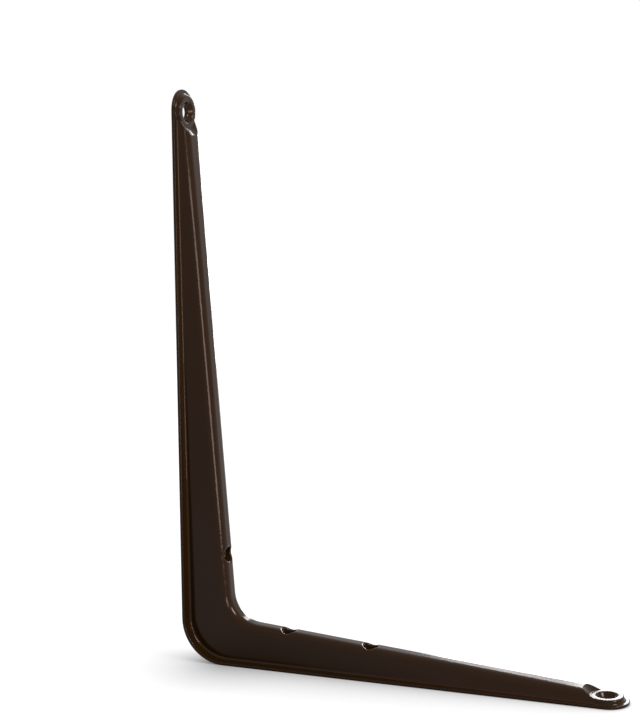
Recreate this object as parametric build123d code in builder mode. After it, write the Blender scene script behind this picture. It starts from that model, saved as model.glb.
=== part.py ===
from build123d import *
import os
from collections import namedtuple
from math import hypot

# Shelf bracket pressed from one steel sheet, in millimetres.
# It is drawn with the wall face at X = 0, the shelf face at Z = 0 and its halves mirrored about Y = 0.
# The finished bracket is then moved so that its origin lies under the middle of the shelf arm.
# Both arms share one hat section: a flange all round, two side walls and a rounded ridge.

# Sheet and arms
sheet = 1.2
wall_length = 250.0
shelf_length = 200.0

# Outline of the flange
tip_radius = 8.9
heel_half_width = 9.8
heel_radius = 19.5

# Pressed channel, measured on its outer skin
wall_corner_depth = 22.5
shelf_corner_depth = 20.5
tip_depth = 4.5
ridge_half_width = 4.8
ridge_flat_half_width = 1.5
tip_fold_half_width = 7.0
fold_radius = 0.8
corner_radius = 13.0

# Screw seat pressed into the end of each arm
end_hole_inset = 9.6
end_hole_radius = 2.8
seat_floor_radius = 3.3
crown_inner_radius = 4.7
crown_outer_radius = 7.1
crown_height = 3.2
crown_round = 0.5
seat_base_radius = 7.8
seat_fold_radius = 0.5
scoop_flare = 1.0

# Cups sunk into the ridge for the other screws
wall_cup_height = 48.0
shelf_inner_cup_reach = 47.5
shelf_outer_cup_reach = 86.0
cup_hole_radius = 2.25
cup_mouth_radius = 3.4
cup_depth = 3.6
cup_flare = 0.15
cup_lip_round = 0.7

# How far helper solids run past the part and past its folds, and the tolerance for picking edges
overrun = 4.0
fold_margin = 0.1
pick = 0.01

Arm = namedtuple("Arm", "length corner_depth along out cups")
wall_arm = Arm(
    wall_length, wall_corner_depth, Vector(0, 0, 1), Vector(1, 0, 0),
    (wall_cup_height,),
)
shelf_arm = Arm(
    shelf_length, shelf_corner_depth, Vector(1, 0, 0), Vector(0, 0, 1),
    (shelf_inner_cup_reach, shelf_outer_cup_reach),
)
arms = (wall_arm, shelf_arm)
ridge_round = ridge_half_width - ridge_flat_half_width
side = heel_half_width + 2 * overrun
margin = overrun / 2


def fall(arm):
    """How much the ridge comes down towards the tip, for each millimetre of arm."""
    return (arm.corner_depth - tip_depth) / arm.length


def ridge_depth(arm, station, inset):
    """Depth of the ridge over the arm's back face, drawn in by inset."""
    return arm.corner_depth - fall(arm) * station - inset


def end_hole(arm):
    """Station of the screw hole at the arm's end."""
    return arm.length - end_hole_inset


def across(arm, station):
    """Plane across an arm: x is depth from the back face, y is width."""
    return Plane(origin=arm.along * station, x_dir=arm.out, z_dir=arm.along)


def through(arm, station):
    """Plane that holds a screw's axis: x is width, y points out of the back face."""
    width = Vector(0, 1, 0)
    return Plane(origin=arm.along * station, x_dir=width, z_dir=width.cross(arm.out))


def screw_axis(arm, station):
    """Axis of a screw, pointing out of the back face."""
    return Axis(arm.along * station, arm.out)


def ridge_bend(inset):
    """Arc that joins the two ridge lines in side view, with x for X and y for Z."""
    wall_start = ridge_depth(wall_arm, 0, inset)
    shelf_start = ridge_depth(shelf_arm, 0, inset)
    meet_x = (wall_start - fall(wall_arm) * shelf_start) / (1 - fall(wall_arm) * fall(shelf_arm))
    with BuildLine() as ridge:
        FilletPolyline(
            (ridge_depth(wall_arm, wall_length, inset), wall_length),
            (meet_x, ridge_depth(shelf_arm, meet_x, inset)),
            (shelf_length, ridge_depth(shelf_arm, shelf_length, inset)),
            radius=corner_radius + inset,
        )
    return ridge.edges().filter_by(GeomType.CIRCLE)[0]


def skin_section(plane, points, rounds, grow):
    """Face with rounded corners, grown by an even margin, or drawn in by a negative one."""
    with BuildSketch(plane) as section:
        with BuildLine():
            FilletPolyline(points, radius=rounds, close=True)
        make_face()
        if grow != 0:
            offset(amount=grow, kind=Kind.INTERSECTION)
    return section.sketch


def turned_section(plane, half_points, half_rounds, grow):
    """Half of a section that mirrors about the plane's y axis, ready to revolve about it."""
    points = half_points + tuple((-x, y) for x, y in reversed(half_points))
    with BuildSketch(plane) as half:
        add(skin_section(Plane.XY, points, half_rounds + half_rounds[::-1], grow))
        split(bisect_by=Plane.YZ)
    return half.sketch


def hat_section(arm, station, fold, inset):
    """Channel and flange across an arm, with fold as half the width between its folds."""
    depth = ridge_depth(arm, station, 0)
    edge = fold + fold_radius + fold_margin + inset
    back = -margin - inset
    points = (
        (back, -edge), (sheet, -edge), (sheet, -fold), (depth, -ridge_half_width),
        (depth, ridge_half_width), (sheet, fold), (sheet, edge), (back, edge),
    )
    rounds = (0, 0, fold_radius, 0, 0, fold_radius, 0, 0)
    return skin_section(across(arm, station), points, rounds, -inset)


def seat_section(arm, inset):
    """Ring that carries the end screw's head, with a sunk floor at the flange's level."""
    edge = seat_base_radius + seat_fold_radius + fold_margin + inset
    back = -margin - inset
    points = (
        (seat_floor_radius, sheet), (crown_inner_radius, crown_height),
        (crown_outer_radius, crown_height), (seat_base_radius, sheet), (edge, sheet), (edge, back),
    )
    rounds = (0, crown_round, crown_round, seat_fold_radius, 0, 0)
    return turned_section(through(arm, end_hole(arm)), points, rounds, -inset)


def cone_section(arm, station, foot, level, radius, flare, inset):
    """Half of a cut that flares out from its foot and has the given radius at the given level."""
    def reach(height):
        return radius + flare * (height - level) + inset * hypot(1, flare)
    top = arm.corner_depth + overrun
    with BuildSketch(through(arm, station)) as section:
        Polygon((0, foot), (reach(foot), foot), (reach(top), top), (0, top), align=None)
    return section.sketch


def scoop_section(arm, inset):
    """Flared cut that ends the ridge at the seat's crown."""
    return cone_section(
        arm, end_hole(arm), -inset, crown_height, crown_outer_radius, scoop_flare, inset
    )


def cup_floor(arm, station):
    """Level of a cup's floor over the arm's back face."""
    return ridge_depth(arm, station, 0) - cup_depth


def cup_section(arm, station, inset):
    """Steep cut with a flat floor that sinks a screw head into the ridge."""
    foot = cup_floor(arm, station) - inset
    crest = ridge_depth(arm, station, 0)
    return cone_section(arm, station, foot, crest, cup_mouth_radius, cup_flare, inset)


def cup_lip(form, arm, station):
    """Edges round a cup's mouth: all edges of its conical wall but the floor's and the seam."""
    axis = screw_axis(arm, station)
    walls = form.faces().filter_by(GeomType.CONE).filter_by(lambda f: f.axis_of_rotation.is_coaxial(axis))
    edges = walls.edges().filter_by(lambda e: e.center().dot(arm.out) > cup_floor(arm, station) + pick)
    return edges.filter_by(GeomType.LINE, reverse=True)


def on_front(edge, front):
    """True for an edge that runs along the flange's front face, round the heel too."""
    middle = edge.center()
    round_heel = edge.geom_type == GeomType.CIRCLE and abs(edge.radius - heel_radius + front) < pick
    return round_heel or abs(min(middle.X, middle.Z) - front) < pick


def flange_slab(inset):
    """Everything behind the flange's front face, bent round the heel and wider than the part."""
    front = sheet - inset
    back = -margin - inset
    wall_end = wall_length + overrun
    shelf_end = shelf_length + overrun
    with BuildPart() as slab:
        with BuildSketch(Plane.XZ):
            with BuildLine():
                FilletPolyline(
                    (front, wall_end), (front, front), (shelf_end, front),
                    (shelf_end, back), (back, back), (back, wall_end),
                    radius=(0, heel_radius - front, 0, 0, 0, 0), close=True,
                )
            make_face()
        extrude(amount=side, both=True)
    return slab.part


def pressed_form(flange_form, inset):
    """Everything behind the pressed skin, moved back from the skin by inset."""
    front = sheet - inset
    back = -margin - inset
    half_ridge = ridge_half_width - inset
    bend = ridge_bend(inset)
    high, low = sorted((bend @ 0, bend @ 1), key=lambda point: -point.Y)
    with BuildPart() as form:
        add(flange_form)
        # Channel round the inner corner
        with BuildSketch(Plane.XZ):
            with BuildLine():
                Polyline(high, (back, high.Y), (back, back), (low.X, back), low)
                ThreePointArc(low, bend @ 0.5, high)
            make_face()
        extrude(amount=half_ridge, both=True)
        roots = form.edges().filter_by(lambda e: abs(abs(e.center().Y) - half_ridge) < pick)
        fillet(roots.filter_by(lambda e: on_front(e, front)), radius=fold_radius + inset)
        # Channel along each arm, its walls leaning more and more towards the tip
        for arm, start in ((wall_arm, high.Y), (shelf_arm, low.X)):
            sections = (
                hat_section(arm, start, ridge_half_width, inset),
                hat_section(arm, end_hole(arm), tip_fold_half_width, inset),
            )
            loft(sections, ruled=True)
        ridges = form.edges().filter_by(lambda e: abs(e.center().Y) > half_ridge / 2)
        ridges = ridges.filter_by(
            lambda e: abs(e.center().X - ridge_depth(wall_arm, e.center().Z, inset)) < pick
            or abs(e.center().Z - ridge_depth(shelf_arm, e.center().X, inset)) < pick
            or (e.geom_type == GeomType.CIRCLE and abs(e.radius - corner_radius - inset) < pick)
        )
        fillet(ridges, radius=ridge_round - inset)
        # Screw seats
        for arm in arms:
            end_axis = screw_axis(arm, end_hole(arm))
            revolve(scoop_section(arm, inset), axis=end_axis, mode=Mode.SUBTRACT)
            revolve(seat_section(arm, inset), axis=end_axis)
            for station in arm.cups:
                axis = screw_axis(arm, station)
                revolve(cup_section(arm, station, inset), axis=axis, mode=Mode.SUBTRACT)
    return form.part


with BuildPart() as flange:
    # Outline of the blank, deep enough to take in the bend at the heel
    for arm in arms:
        with BuildSketch(Plane(arm.out * -margin, x_dir=arm.along, z_dir=arm.out)):
            tip = arm.length - tip_radius
            with BuildLine():
                Polyline(
                    (tip, tip_radius), (heel_radius, heel_half_width), (-margin, heel_half_width),
                    (-margin, -heel_half_width), (heel_radius, -heel_half_width), (tip, -tip_radius),
                )
                ThreePointArc((tip, -tip_radius), (arm.length, 0), (tip, tip_radius))
            make_face()
        extrude(amount=heel_radius + margin)
    add(flange_slab(0), mode=Mode.INTERSECT)

outer_form = pressed_form(flange.part, 0)
inner_form = pressed_form(flange_slab(sheet), sheet)

with BuildPart() as pressing:
    add(outer_form)
    for arm in arms:
        for station in arm.cups:
            fillet(cup_lip(pressing, arm, station), radius=cup_lip_round)
    add(inner_form, mode=Mode.SUBTRACT)
    # Screw holes
    for arm in arms:
        stations = [(end_hole(arm), end_hole_radius)]
        stations += [(station, cup_hole_radius) for station in arm.cups]
        for station, radius in stations:
            with Locations(Plane(arm.along * station, x_dir=(0, 1, 0), z_dir=arm.out)):
                Hole(radius)

with BuildPart() as bracket:
    with Locations((-shelf_length / 2, 0, 0)):
        add(pressing.part)
bracket.part.label = "bracket"

os.makedirs("parts", exist_ok=True)
export_step(bracket.part, "parts/bracket.step")
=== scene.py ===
"""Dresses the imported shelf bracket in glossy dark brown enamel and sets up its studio.

Everything is in metres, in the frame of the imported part: Z is up along the wall arm, X runs along
the shelf arm away from the wall, and the two halves of the bracket mirror about Y = 0.
"""

import math
from typing import NamedTuple

import bpy
import numpy as np
from bpy.props import FloatProperty, FloatVectorProperty, PointerProperty
from bpy.types import Operator, Panel, PropertyGroup
from mathutils import Matrix, Vector


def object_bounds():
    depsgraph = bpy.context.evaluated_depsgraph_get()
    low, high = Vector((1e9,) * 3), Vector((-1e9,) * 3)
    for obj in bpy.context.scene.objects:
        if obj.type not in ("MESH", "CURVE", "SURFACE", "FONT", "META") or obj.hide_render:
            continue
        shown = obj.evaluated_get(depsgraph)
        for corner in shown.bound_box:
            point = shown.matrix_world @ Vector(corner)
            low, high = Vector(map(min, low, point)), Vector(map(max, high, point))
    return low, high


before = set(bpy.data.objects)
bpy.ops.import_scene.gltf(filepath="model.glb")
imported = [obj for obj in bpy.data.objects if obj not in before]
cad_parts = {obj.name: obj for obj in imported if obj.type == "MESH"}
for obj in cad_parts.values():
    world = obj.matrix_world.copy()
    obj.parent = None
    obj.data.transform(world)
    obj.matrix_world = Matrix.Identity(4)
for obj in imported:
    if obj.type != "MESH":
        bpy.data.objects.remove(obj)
CAD_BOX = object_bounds()

bl_info = {
    "name": "Pressed shelf bracket",
    "version": (1, 0, 0),
    "blender": (4, 5, 0),
    "location": "View3D > Sidebar > Bracket",
    "description": "Enamels the pressed shelf bracket and sets up its white studio",
    "category": "Object",
}

NODE = "bracket"
IMAGE_WIDTH = 640
IMAGE_HEIGHT = 721
SENSOR = 36.0
SHADER_SAMPLES = 16
PATCH_DETAIL = 3
PEEL_DETAIL = 1


class SoftBox(NamedTuple):
    """Lamp's place, the point it faces, and its width and height."""

    place: tuple
    aim: tuple
    width: float
    height: float


SOFT_BOXES = {
    "back_panel": SoftBox(place=(-0.2, 1.2, 0.215), aim=(0.09, 0, 0.215), width=0.28, height=0.43),
    "back_window": SoftBox(place=(-0.05, 1.2, 0.65), aim=(-0.09, 0, 0.24), width=0.24, height=0.4),
    "front_box": SoftBox(place=(1.04, -1.08, 0.0), aim=(-0.1, 0, 0.0), width=0.56, height=0.56),
    "key_box": SoftBox(place=(1.3, -0.35, 1.0), aim=(-0.05, 0, 0.1), width=0.56, height=0.56),
}


class EnamelSettings(PropertyGroup):
    """Finish of the stoved enamel."""

    colour: FloatVectorProperty(
        name="Colour", description="Brown of a full coat of enamel",
        subtype="COLOR", size=3, min=0, max=1, default=(0.0145, 0.0058, 0.0010),
    )
    thin_colour: FloatVectorProperty(
        name="Thin colour", description="Warmer brown where the coat ran thin",
        subtype="COLOR", size=3, min=0, max=1, default=(0.0174, 0.0070, 0.0012),
    )
    gloss_tint: FloatVectorProperty(
        name="Gloss tint", description="Warm tint of what the coat mirrors face on",
        subtype="COLOR", size=3, min=0, max=1, default=(1.0, 0.76, 0.70),
    )
    gloss_level: FloatProperty(
        name="Gloss level", description="Strength of what the coat mirrors, 0.5 for a full gloss",
        subtype="FACTOR", min=0, max=1, default=0.16,
    )
    refraction: FloatProperty(
        name="Refractive index", description="Refractive index of the coat at full gloss",
        min=1, default=1.5,
    )
    roughness: FloatProperty(
        name="Roughness", description="Mean roughness of the gloss",
        subtype="FACTOR", min=0, max=1, default=0.14,
    )
    roughness_spread: FloatProperty(
        name="Roughness spread", description="How far the roughness strays from its mean",
        subtype="FACTOR", min=0, max=1, default=0.04,
    )
    flow_radius: FloatProperty(
        name="Flow radius", description="Radius to which the coat rounds the edges of the sheet",
        subtype="DISTANCE", unit="LENGTH", min=0, default=0.0008,
    )
    peel_size: FloatProperty(
        name="Peel size", description="Width of one dimple of the orange peel",
        subtype="DISTANCE", unit="LENGTH", default=0.0022,
    )
    peel_depth: FloatProperty(
        name="Peel depth", description="Depth of the orange peel",
        subtype="DISTANCE", unit="LENGTH", default=0.000008,
    )
    patch_size: FloatProperty(
        name="Patch size", description="Width of the patches where the coat's thickness changes",
        subtype="DISTANCE", unit="LENGTH", default=0.030,
    )


class StudioSettings(PropertyGroup):
    """Table, surroundings, lamps and camera."""

    table_colour: FloatVectorProperty(
        name="Table colour", description="Grey of the table itself, under its glow",
        subtype="COLOR", size=3, min=0, max=1, default=(0.10, 0.10, 0.10),
    )
    table_glow: FloatProperty(
        name="Table glow", description="Light added to the table where it shows, to lift it to white",
        min=0, default=1.0,
    )
    # The three shade settings below shape a painted shadow: the bracket's soft shade on the table is
    # painted into the table's glow by ambient occlusion, not cast by the lamps.
    painted_shade_reach: FloatProperty(
        name="Shade reach", description="How far the bracket's soft shade spreads over the table",
        subtype="DISTANCE", unit="LENGTH", min=0, default=0.05,
    )
    painted_shade_lean: FloatVectorProperty(
        name="Shade lean", description="How far the shade leans forward, away from the light behind",
        subtype="XYZ", size=3, default=(0.0, 0.9, 0.0),
    )
    painted_shade_depth: FloatProperty(
        name="Shade depth", description="Power to which the shade is raised, 1 for a plain shade",
        min=0, default=1.15,
    )
    table_front: FloatProperty(
        name="Table front", description="How far the table comes out in front of the bracket",
        subtype="DISTANCE", unit="LENGTH", min=0, default=0.25,
    )
    table_reach: FloatProperty(
        name="Table reach", description="How far the table runs behind the bracket and to both sides",
        subtype="DISTANCE", unit="LENGTH", min=0, default=1.1,
    )
    room_level: FloatProperty(
        name="Room level", description="Brightness of the dim room round the table",
        min=0, max=1, default=0.07,
    )
    sky_level: FloatProperty(
        name="Overhead level", description="Brightness of the soft light overhead, where it is strongest",
        min=0, default=1.55,
    )
    sky_lean: FloatVectorProperty(
        name="Overhead direction", description="Direction in which the soft overhead light is strongest",
        subtype="DIRECTION", size=3, default=(-0.50, 0.50, 0.70),
    )
    sky_start: FloatProperty(
        name="Overhead start", description="Share of the overhead direction where its light sets in",
        min=0, max=1, default=0.15,
    )
    side_level: FloatProperty(
        name="Side level", description="Brightness of the pale wall on the right",
        min=0, default=0.3,
    )
    side_start: FloatProperty(
        name="Side start", description="Share of the right-hand direction where the pale wall sets in",
        min=0, max=1, default=0.3,
    )
    side_full: FloatProperty(
        name="Side full", description="Share of the right-hand direction where the pale wall is full",
        min=0, max=1, default=0.9,
    )
    back_panel: FloatProperty(
        name="Back panel", description="Brightness of the low lamp behind the bracket",
        min=0, default=11.0,
    )
    back_window: FloatProperty(
        name="Back window", description="Brightness of the small lamp above the back panel",
        min=0, default=12.5,
    )
    front_box: FloatProperty(
        name="Front box", description="Brightness of the low lamp in front on the right",
        min=0, default=11.0,
    )
    key_box: FloatProperty(
        name="Key box", description="Brightness of the lamp high on the right",
        min=0, default=27.0,
    )
    camera_place: FloatVectorProperty(
        name="Camera place", description="Where the camera stands",
        subtype="TRANSLATION", unit="LENGTH", size=3, default=(0.2484, -0.6515, 0.2309),
    )
    azimuth: FloatProperty(
        name="Azimuth", description="Camera's turn about the upright, from straight in front",
        subtype="ANGLE", unit="ROTATION", default=math.radians(19.93),
    )
    elevation: FloatProperty(
        name="Elevation", description="Camera's tilt above the horizon",
        subtype="ANGLE", unit="ROTATION", default=math.radians(8.94),
    )
    focal_length: FloatProperty(
        name="Focal length", description="Lens, in pixels of the finished picture",
        subtype="PIXEL", min=1, default=1686.0,
    )
    centre: FloatVectorProperty(
        name="Picture centre", description="Where the lens axis meets the picture, in pixels",
        subtype="XYZ", size=2, default=(428.0, 400.0),
    )


def add_node(tree, kind, x, y, **values):
    """Adds a shader node at a place in the editor and sets its plain properties."""
    node = tree.nodes.new(kind)
    node.location = (x, y)
    for name, value in values.items():
        setattr(node, name, value)
    return node


def empty_tree(owner):
    """Turns on the nodes of a material or world and gives its tree, emptied."""
    owner.use_nodes = True
    owner.node_tree.nodes.clear()
    return owner.node_tree


def noise(tree, coordinates, width, detail, x, y):
    """Adds noise whose features are about the given width across."""
    node = add_node(tree, "ShaderNodeTexNoise", x, y)
    node.inputs["Scale"].default_value = 1 / width
    node.inputs["Detail"].default_value = detail
    tree.links.new(coordinates, node.inputs["Vector"])
    return node


def background_rays(tree, x, y):
    """Gives 1 for the rays that show the background: those of the camera, of gloss and of glass."""
    path = add_node(tree, "ShaderNodeLightPath", x, y)
    rays = path.outputs["Is Camera Ray"]
    for place, kind in enumerate(("Is Glossy Ray", "Is Transmission Ray"), start=1):
        either = add_node(tree, "ShaderNodeMath", x + 200 * place, y, operation="MAXIMUM")
        tree.links.new(rays, either.inputs[0])
        tree.links.new(path.outputs[kind], either.inputs[1])
        rays = either.outputs["Value"]
    return rays


def enamel_material(settings):
    """Glossy enamel: a dark brown coat with orange peel, uneven gloss and slightly thinner patches."""
    material = bpy.data.materials.new("brown_enamel")
    tree = empty_tree(material)
    output = add_node(tree, "ShaderNodeOutputMaterial", 900, 0)
    shader = add_node(tree, "ShaderNodeBsdfPrincipled", 600, 0)
    shader.inputs["IOR"].default_value = settings.refraction
    shader.inputs["Specular IOR Level"].default_value = settings.gloss_level
    shader.inputs["Specular Tint"].default_value = (*settings.gloss_tint, 1)
    tree.links.new(shader.outputs["BSDF"], output.inputs["Surface"])
    place = add_node(tree, "ShaderNodeTexCoord", -900, 0).outputs["Object"]

    patches = noise(tree, place, settings.patch_size, PATCH_DETAIL, -600, 250)
    colour = add_node(tree, "ShaderNodeMix", 200, 250, data_type="RGBA")
    colour.inputs["A"].default_value = (*settings.colour, 1)
    colour.inputs["B"].default_value = (*settings.thin_colour, 1)
    tree.links.new(patches.outputs["Fac"], colour.inputs["Factor"])
    tree.links.new(colour.outputs["Result"], shader.inputs["Base Color"])

    gloss = add_node(tree, "ShaderNodeMapRange", 200, 0)
    gloss.inputs["To Min"].default_value = settings.roughness - settings.roughness_spread
    gloss.inputs["To Max"].default_value = settings.roughness + settings.roughness_spread
    tree.links.new(patches.outputs["Fac"], gloss.inputs["Value"])
    tree.links.new(gloss.outputs["Result"], shader.inputs["Roughness"])

    flow = add_node(tree, "ShaderNodeBevel", -100, -450, samples=SHADER_SAMPLES)
    flow.inputs["Radius"].default_value = settings.flow_radius
    peel = noise(tree, place, settings.peel_size, PEEL_DETAIL, -600, -250)
    bump = add_node(tree, "ShaderNodeBump", 200, -250)
    bump.inputs["Distance"].default_value = settings.peel_depth
    tree.links.new(peel.outputs["Fac"], bump.inputs["Height"])
    tree.links.new(flow.outputs["Normal"], bump.inputs["Normal"])
    tree.links.new(bump.outputs["Normal"], shader.inputs["Normal"])
    return material


def table_material(settings):
    """Matt grey table with a glow that lifts it to white, and a painted shadow of the bracket in that
    glow.

    The glow is there for the rays that show the background, not for those that light the bracket. The
    painted shadow is ambient occlusion, leaned forward as if the light came from behind, and it darkens
    the glow near the bracket. Only the dim matt grey beneath the glow takes a real shadow from the lamps.
    """
    material = bpy.data.materials.new("pale_table")
    tree = empty_tree(material)
    output = add_node(tree, "ShaderNodeOutputMaterial", 900, 0)
    matt = add_node(tree, "ShaderNodeBsdfDiffuse", 300, 100)
    matt.inputs["Color"].default_value = (*settings.table_colour, 1)
    glow = add_node(tree, "ShaderNodeEmission", 300, -100)

    # Painted shadow: ambient occlusion about a normal leaned forward, as if the light came from behind,
    # darkens the table's glow near the bracket.
    upright = add_node(tree, "ShaderNodeNewGeometry", -1500, 100).outputs["Normal"]
    leaned = add_node(tree, "ShaderNodeVectorMath", -1200, 100, operation="ADD")
    leaned.inputs[1].default_value = settings.painted_shade_lean
    tree.links.new(upright, leaned.inputs[0])
    slant = add_node(tree, "ShaderNodeVectorMath", -900, 100, operation="NORMALIZE")
    tree.links.new(leaned.outputs["Vector"], slant.inputs[0])
    shade = add_node(tree, "ShaderNodeAmbientOcclusion", -600, 100, samples=SHADER_SAMPLES)
    shade.inputs["Distance"].default_value = settings.painted_shade_reach
    tree.links.new(slant.outputs["Vector"], shade.inputs["Normal"])
    deepened = add_node(tree, "ShaderNodeMath", -300, 100, operation="POWER")
    deepened.inputs[1].default_value = settings.painted_shade_depth
    tree.links.new(shade.outputs["AO"], deepened.inputs[0])
    glow_with_painted_shade = add_node(tree, "ShaderNodeMath", 0, 100, operation="MULTIPLY")
    glow_with_painted_shade.inputs[1].default_value = settings.table_glow
    tree.links.new(deepened.outputs["Value"], glow_with_painted_shade.inputs[0])

    strength = add_node(tree, "ShaderNodeMath", 0, -100, operation="MULTIPLY")
    tree.links.new(background_rays(tree, -600, -300), strength.inputs[0])
    tree.links.new(glow_with_painted_shade.outputs["Value"], strength.inputs[1])
    tree.links.new(strength.outputs["Value"], glow.inputs["Strength"])
    both = add_node(tree, "ShaderNodeAddShader", 600, 0)
    tree.links.new(matt.outputs["BSDF"], both.inputs[0])
    tree.links.new(glow.outputs["Emission"], both.inputs[1])
    tree.links.new(both.outputs["Shader"], output.inputs["Surface"])
    return material


def studio_world(settings):
    """Dim room with soft light overhead and a pale wall on the right, white to the rays that show it."""
    world = bpy.data.worlds.new("studio")
    tree = empty_tree(world)
    output = add_node(tree, "ShaderNodeOutputWorld", 900, 0)
    background = add_node(tree, "ShaderNodeBackground", 600, 0)
    background.inputs["Color"].default_value = (1, 1, 1, 1)
    direction = add_node(tree, "ShaderNodeTexCoord", -900, 0).outputs["Generated"]
    upward = add_node(tree, "ShaderNodeVectorMath", -600, 100, operation="DOT_PRODUCT")
    upward.inputs[1].default_value = settings.sky_lean
    tree.links.new(direction, upward.inputs[0])
    overhead = add_node(tree, "ShaderNodeMapRange", -300, 100)
    overhead.inputs["From Min"].default_value = settings.sky_start
    overhead.inputs["To Min"].default_value = settings.room_level
    overhead.inputs["To Max"].default_value = settings.sky_level
    tree.links.new(upward.outputs["Value"], overhead.inputs["Value"])
    axes = add_node(tree, "ShaderNodeSeparateXYZ", -600, -200)
    tree.links.new(direction, axes.inputs["Vector"])
    side = add_node(tree, "ShaderNodeMapRange", -300, -200, interpolation_type="SMOOTHSTEP")
    side.inputs["From Min"].default_value = settings.side_start
    side.inputs["From Max"].default_value = settings.side_full
    side.inputs["To Max"].default_value = settings.side_level
    tree.links.new(axes.outputs["X"], side.inputs["Value"])
    room = add_node(tree, "ShaderNodeMath", 0, 0, operation="ADD")
    tree.links.new(overhead.outputs["Result"], room.inputs[0])
    tree.links.new(side.outputs["Result"], room.inputs[1])
    strength = add_node(tree, "ShaderNodeMix", 300, 0)
    strength.inputs["B"].default_value = 1.0
    tree.links.new(background_rays(tree, -300, -450), strength.inputs["Factor"])
    tree.links.new(room.outputs["Value"], strength.inputs["A"])
    tree.links.new(strength.outputs["Result"], background.inputs["Strength"])
    tree.links.new(background.outputs["Background"], output.inputs["Surface"])
    bpy.context.scene.world = world


def table_mesh(front, reach):
    """Flat rectangle: x runs from -reach to reach and y from -front to reach, with z at 0."""
    x, y = np.meshgrid((-reach, reach), (-front, reach))
    points = np.stack((x, y, np.zeros_like(x)), axis=-1).reshape(-1, 3)
    mesh = bpy.data.meshes.new("table")
    mesh.from_pydata(points.tolist(), [], [(0, 1, 3, 2)])
    mesh.update()
    return mesh


def lamp(name, box, radiance):
    """Area lamp of the given radiance, in the place and of the size of a soft box."""
    data = bpy.data.lights.new(name, "AREA")
    data.shape = "RECTANGLE"
    data.size = box.width
    data.size_y = box.height
    data.energy = radiance * math.pi * box.width * box.height
    lamp_object = bpy.data.objects.new(name, data)
    lamp_object.location = box.place
    lamp_object.rotation_mode = "QUATERNION"
    lamp_object.rotation_quaternion = (Vector(box.aim) - Vector(box.place)).to_track_quat("-Z", "Y")
    lamp_object.visible_camera = False
    bpy.context.scene.collection.objects.link(lamp_object)


class BRACKET_OT_enamel(Operator):
    """Coats the pressed bracket with brown enamel"""

    bl_idname = "bracket.enamel"
    bl_label = "Enamel the bracket"

    def execute(self, context):
        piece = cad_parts[NODE]
        piece.data.materials.clear()
        piece.data.materials.append(enamel_material(context.scene.bracket_enamel))
        return {"FINISHED"}


class BRACKET_OT_stage(Operator):
    """Sets up the table, the lamps and the white surroundings"""

    bl_idname = "bracket.stage"
    bl_label = "Set the stage"

    def execute(self, context):
        settings = context.scene.bracket_studio
        table = bpy.data.objects.new("table", table_mesh(settings.table_front, settings.table_reach))
        table.location.z = CAD_BOX[0].z
        table.data.materials.append(table_material(settings))
        context.scene.collection.objects.link(table)
        studio_world(settings)
        for name, box in SOFT_BOXES.items():
            lamp(name, box, getattr(settings, name))
        context.scene.view_settings.view_transform = "Standard"
        return {"FINISHED"}


class BRACKET_OT_camera(Operator):
    """Places the camera where the photograph was taken from"""

    bl_idname = "bracket.camera"
    bl_label = "Place the camera"

    def execute(self, context):
        settings = context.scene.bracket_studio
        turn, tilt = settings.azimuth, settings.elevation
        right = Vector((math.cos(turn), math.sin(turn), 0))
        back = Vector((math.sin(turn) * math.cos(tilt), -math.cos(turn) * math.cos(tilt), math.sin(tilt)))
        data = bpy.data.cameras.new("camera")
        data.sensor_width = SENSOR
        data.lens = settings.focal_length * SENSOR / IMAGE_HEIGHT
        data.shift_x = (IMAGE_WIDTH / 2 - settings.centre[0]) / IMAGE_HEIGHT
        data.shift_y = (settings.centre[1] - IMAGE_HEIGHT / 2) / IMAGE_HEIGHT
        camera = bpy.data.objects.new("camera", data)
        axes = Matrix((right, back.cross(right), back)).transposed()
        camera.matrix_world = Matrix.Translation(settings.camera_place) @ axes.to_4x4()
        context.scene.collection.objects.link(camera)
        context.scene.camera = camera
        return {"FINISHED"}


class BRACKET_PT_sidebar(Panel):
    """Lists the bracket's steps and settings"""

    bl_label = "Shelf bracket"
    bl_space_type = "VIEW_3D"
    bl_region_type = "UI"
    bl_category = "Bracket"

    def draw(self, context):
        for operator in OPERATORS:
            self.layout.operator(operator.bl_idname)
        for settings in (context.scene.bracket_enamel, context.scene.bracket_studio):
            box = self.layout.box()
            for name in settings.__annotations__:
                box.prop(settings, name)


OPERATORS = (BRACKET_OT_enamel, BRACKET_OT_stage, BRACKET_OT_camera)
CLASSES = (EnamelSettings, StudioSettings, *OPERATORS, BRACKET_PT_sidebar)


def register():
    """Adds the bracket's classes and settings to Blender."""
    for cls in CLASSES:
        bpy.utils.register_class(cls)
    bpy.types.Scene.bracket_enamel = PointerProperty(type=EnamelSettings)
    bpy.types.Scene.bracket_studio = PointerProperty(type=StudioSettings)


def unregister():
    """Takes them out again."""
    del bpy.types.Scene.bracket_studio
    del bpy.types.Scene.bracket_enamel
    for cls in reversed(CLASSES):
        bpy.utils.unregister_class(cls)


def main():
    """Registers the add-on and runs its steps in order."""
    register()
    bpy.ops.bracket.enamel()
    bpy.ops.bracket.stage()
    bpy.ops.bracket.camera()


if __name__ == "__main__":
    main()
